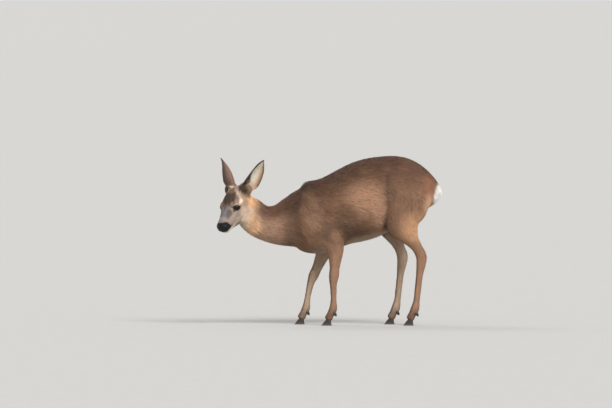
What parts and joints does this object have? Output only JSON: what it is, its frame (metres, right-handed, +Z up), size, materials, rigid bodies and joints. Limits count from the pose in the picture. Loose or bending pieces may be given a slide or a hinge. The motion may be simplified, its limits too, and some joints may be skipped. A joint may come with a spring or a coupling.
{
  "type": "roe deer",
  "caption": "Young roe deer in its grey-brown winter coat, standing and browsing with lowered head, ears raised and face turned to its left.",
  "frame": {"origin": "on the floor, under the middle of the whole deer's box", "axes": "+Z up; -X is the way the deer faces; -Y is its left side"},
  "size_m": [0.8994, 0.2572, 0.6763],
  "materials": {
    "coat": "short winter fur",
    "horn": "dark keratin, worn",
    "eye": "wet and glossy"
  },
  "bodies": {
    "root": {"claw_fore_left_inner": "horn", "claw_fore_left_outer": "horn", "claw_fore_right_inner": "horn", "claw_fore_right_outer": "horn", "claw_hind_left_inner": "horn", "claw_hind_left_outer": "horn", "claw_hind_right_inner": "horn", "claw_hind_right_outer": "horn", "dewclaw_fore_left_inner": "horn", "dewclaw_fore_left_outer": "horn", "dewclaw_fore_right_inner": "horn", "dewclaw_fore_right_outer": "horn", "dewclaw_hind_left_inner": "horn", "dewclaw_hind_left_outer": "horn", "dewclaw_hind_right_inner": "horn", "dewclaw_hind_right_outer": "horn", "ear_left": "coat", "ear_right": "coat", "eye_left": "eye", "eye_right": "eye", "foreleg_left": "coat", "foreleg_right": "coat", "head": "coat", "hindleg_left": "coat", "hindleg_right": "coat", "neck": "coat", "tail": "coat", "trunk": "coat"}
  },
  "joints": []
}
